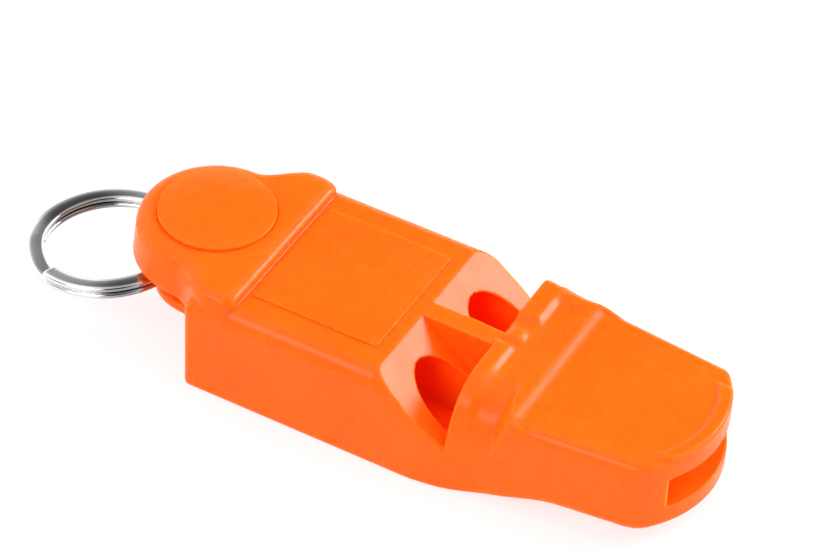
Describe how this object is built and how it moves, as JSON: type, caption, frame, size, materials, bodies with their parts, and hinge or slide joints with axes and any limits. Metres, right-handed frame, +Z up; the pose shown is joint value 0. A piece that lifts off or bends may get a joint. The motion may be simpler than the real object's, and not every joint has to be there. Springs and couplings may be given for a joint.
{
  "type": "safety whistle",
  "caption": "Pealess two-chamber signal whistle in glossy orange plastic, with a lug at the rear that carries a swinging steel split key ring.",
  "frame": {"origin": "on the base plane, below the rear top edge of the sound notch, in the middle of the width", "axes": "+X from the lug towards the mouthpiece, +Y to the far side, +Z up from the base"},
  "size_m": [0.0665, 0.0202, 0.0125],
  "materials": {
    "orange_plastic": "glossy moulded plastic",
    "bright_steel": "bright nickel-plated spring steel"
  },
  "bodies": {
    "whistle": {"body": "orange_plastic", "base_cover": "orange_plastic", "windway_insert": "orange_plastic", "badge_disc": "orange_plastic"},
    "key_ring": {"split_ring": "bright_steel"}
  },
  "joints": [
    {"name": "ring_swing", "type": "hinge", "parent": "whistle", "child": "key_ring", "pos_m": [-0.02645, 0, 0.00562], "axis": [0, 0, 1], "range_deg": [-85, 25]}
  ]
}
